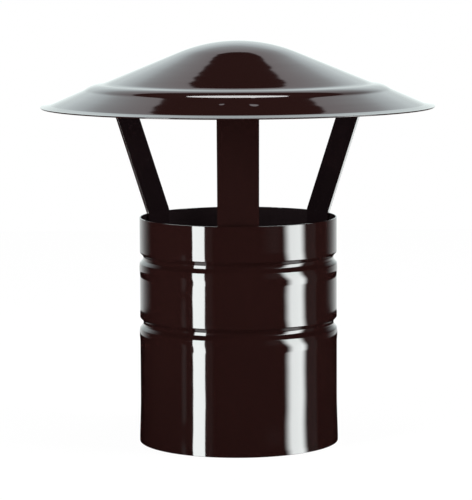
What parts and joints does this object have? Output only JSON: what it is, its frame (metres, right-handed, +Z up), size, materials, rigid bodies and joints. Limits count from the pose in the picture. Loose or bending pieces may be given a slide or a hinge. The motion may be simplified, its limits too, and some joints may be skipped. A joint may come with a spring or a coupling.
{
  "type": "flue rain cap",
  "caption": "Conical rain cap in glossy dark brown enamelled sheet steel: a stepped hat on flat strap legs above a short beaded collar that slips over a round flue pipe.",
  "frame": {"origin": "centre of the collar's bottom rim, on the collar's axis", "axes": "+Z up along the collar's axis towards the hat, with the front leg on the -Y side"},
  "size_m": [0.2432, 0.2432, 0.2489],
  "materials": {
    "brown_enamel": "glossy vitreous enamel on steel sheet"
  },
  "bodies": {
    "root": {"collar": "brown_enamel", "hat": "brown_enamel", "leg_front": "brown_enamel", "leg_rear_left": "brown_enamel", "leg_rear_right": "brown_enamel"}
  },
  "joints": []
}
